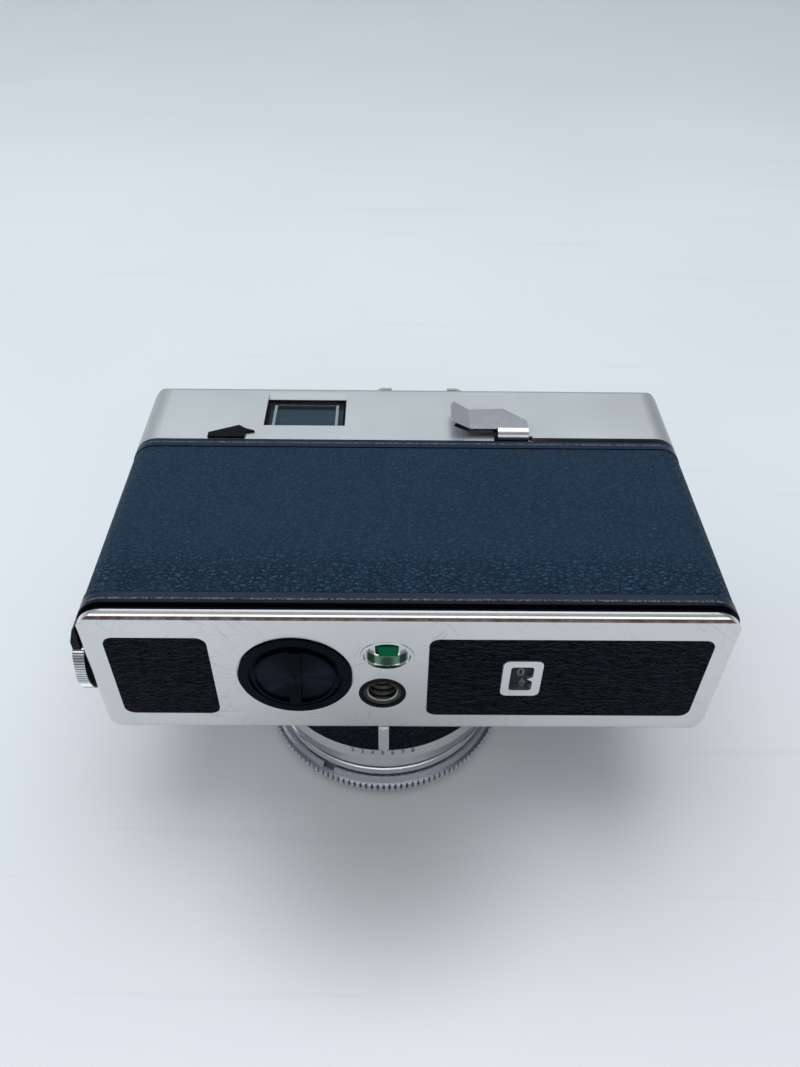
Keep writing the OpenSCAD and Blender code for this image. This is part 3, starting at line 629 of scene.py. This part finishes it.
# dark turning mark beside the bar of the rewind knob
c = at(KNOB_X + 2.5, -0.27, KNOB_D - 5.6)
corners = [c + Vector((x * MM, 0, z * MM)) for x, z in ((-1.1, 0.9), (1.0, -0.4), (-0.9, -0.7))]
mesh_piece("rewind_mark", *prism(corners, Vector((0, 0.1 * MM, 0))), M["casting"], "rewind", "black_gloss")

# rear face of the eyepiece's inner lens, behind the frame lines
LEFT, RIGHT, LOW, HIGH = -29.5, -13.7, 53.3, 62.45
corners = [at(x, y, 2.2) for x, y in ((LEFT, LOW), (RIGHT, LOW), (RIGHT, HIGH), (LEFT, HIGH))]
mesh_piece("ocular_back", *prism(corners, Vector((0, 0, -0.15 * MM))), M["ocular"], "camera", "optical_glass")

# coil spring under the shutter button, wound round its stem
TURNS, STEPS, SIDES = 11, 20, 6
WIRE_R, COIL_R = 0.22, 1.75
COIL_Y0, COIL_Y1 = 49.55, 62.45
verts, faces = [], []
for i in range(TURNS * STEPS + 1):
    a = 2 * math.pi * i / STEPS
    y = COIL_Y0 + (COIL_Y1 - COIL_Y0) * i / (TURNS * STEPS)
    for k in range(SIDES):
        b = 2 * math.pi * k / SIDES
        r = COIL_R + WIRE_R * math.cos(b)
        verts.append(at(BUTTON_X + r * math.cos(a), y + WIRE_R * math.sin(b), BUTTON_D + r * math.sin(a)))
    if i:
        n = len(verts) - 2 * SIDES
        faces += [(n + k, n + (k + 1) % SIDES, n + SIDES + (k + 1) % SIDES, n + SIDES + k)
                  for k in range(SIDES)]
faces += [tuple(range(SIDES - 1, -1, -1)), tuple(range(len(verts) - SIDES, len(verts)))]
coil = mesh_piece("release_coil", verts, faces, M["steel"], "camera", "steel")
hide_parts("shutter_spring")
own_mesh(coil)


# ---------- room (places and sizes in metres) ----------

def floor_material():
    """Pale table top with painted shade far behind the camera and a painted shadow just in front of the lens.
    """
    t = Tree("table_top")
    cloud = t.noise(0.008, 3.0, 0.5)
    hair = t.noise(1.0, 0.0, 0.4, t.stretch((0.010, 0.22, 1.0), (0, 0, 0.5)), 0.4)
    tone = t.mix(t.spread(cloud, 0.0, 1.0), (0.71, 0.73, 0.76), (0.745, 0.76, 0.785))
    # painted shade, growing far behind the camera
    tone = t.mix(t.span(t.xyz("Y"), 190, 520, 0.0, 0.30, True), tone, (0.40, 0.43, 0.46))
    tone = t.mix(t.span(hair, 0.745, 0.752, 0.0, 0.08), tone, (0.5, 0.51, 0.55))
    # painted shadow of the camera on the table just in front of the lens
    near = t.vector("LENGTH", t.stretch((0.85, 1.0, 0.0), move=(0.0, 41.0, 0.0)))
    tone = t.mix(t.span(near, 2, 34, 0.5, 0.0, True), tone, (0.19, 0.195, 0.185))
    t.set(base=tone, rough=t.spread(cloud, 0.45, 0.55), spec=0.3)
    return t.mat


FLOOR_HALF = 3.0
me = bpy.data.meshes.new("floor")
me.from_pydata([(x * FLOOR_HALF, y * FLOOR_HALF, 0) for x, y in ((-1, -1), (1, -1), (1, 1), (-1, 1))],
               [], [(0, 1, 2, 3)])
floor = bpy.data.objects.new("floor", me)
scene.collection.objects.link(floor)
me.materials.append(floor_material())


def area(name, place, target, size, size_y, watts, colour):
    light = bpy.data.lights.new(name, "AREA")
    light.energy = watts
    light.color = colour
    light.shape = "RECTANGLE"
    light.size = size
    light.size_y = size_y
    o = bpy.data.objects.new(name, light)
    scene.collection.objects.link(o)
    o.location = place
    o.rotation_mode = "QUATERNION"
    o.rotation_quaternion = (Vector(target) - Vector(place)).to_track_quat("-Z", "Y")


area("sky_panel", (0.0, 0.40, 1.1), (0, 0, 0), 1.3, 0.9, 8.3, (0.93, 0.97, 1.0))
area("left_panel", (-0.8, 0.2, 0.5), (0, 0, 0.03), 0.6, 0.6, 1.6, (0.9, 0.96, 1.0))
area("front_panel", (0.0, -0.55, 0.42), (0, 0, 0.03), 1.0, 0.3, 1.5, (1.0, 1.0, 0.99))

# soft daylight that darkens a little towards the viewer's side
world = bpy.data.worlds.new("room")
scene.world = world
world.use_nodes = True
nodes, links = world.node_tree.nodes, world.node_tree.links
background = nodes["Background"]
background.inputs["Strength"].default_value = 0.50
direction = nodes.new("ShaderNodeTexCoord")
split = nodes.new("ShaderNodeSeparateXYZ")
links.new(direction.outputs["Generated"], split.inputs[0])
fade = nodes.new("ShaderNodeMapRange")
fade.interpolation_type = "SMOOTHSTEP"
links.new(split.outputs["Y"], fade.inputs["Value"])
fade.inputs["From Min"].default_value = -0.9
fade.inputs["From Max"].default_value = 0.1
sky = nodes.new("ShaderNodeMix")
sky.data_type = "RGBA"
links.new(fade.outputs[0], sky.inputs[0])
sky.inputs[6].default_value = (0.50, 0.51, 0.50, 1)
sky.inputs[7].default_value = (0.86, 0.94, 1.0, 1)
links.new(sky.outputs[2], background.inputs["Color"])

# ---------- camera ----------

CAMERA_PLACE = (1.24 * MM, -118.59 * MM, 159.74 * MM)
PITCH, ROLL, YAW = (math.radians(a) for a in (42.87, 0.92, 0.77))
cam_data = bpy.data.cameras.new("camera")
cam_data.sensor_width = 36
cam_data.lens = 28.95
cam_data.clip_start, cam_data.clip_end = 0.005, 20
cam = bpy.data.objects.new("camera", cam_data)
scene.collection.objects.link(cam)
scene.camera = cam
ahead = Vector((math.sin(YAW) * math.cos(PITCH), math.cos(YAW) * math.cos(PITCH), -math.sin(PITCH)))
right = Vector((math.cos(YAW), -math.sin(YAW), 0))
up = right.cross(ahead)
right, up = math.cos(ROLL) * right + math.sin(ROLL) * up, math.cos(ROLL) * up - math.sin(ROLL) * right
cam.rotation_mode = "QUATERNION"
cam.rotation_quaternion = Matrix((right, up, -ahead)).transposed().to_quaternion()
cam.location = CAMERA_PLACE

scene.view_settings.view_transform = "Standard"
scene.view_settings.look = "None"
scene.view_settings.exposure = 0.0
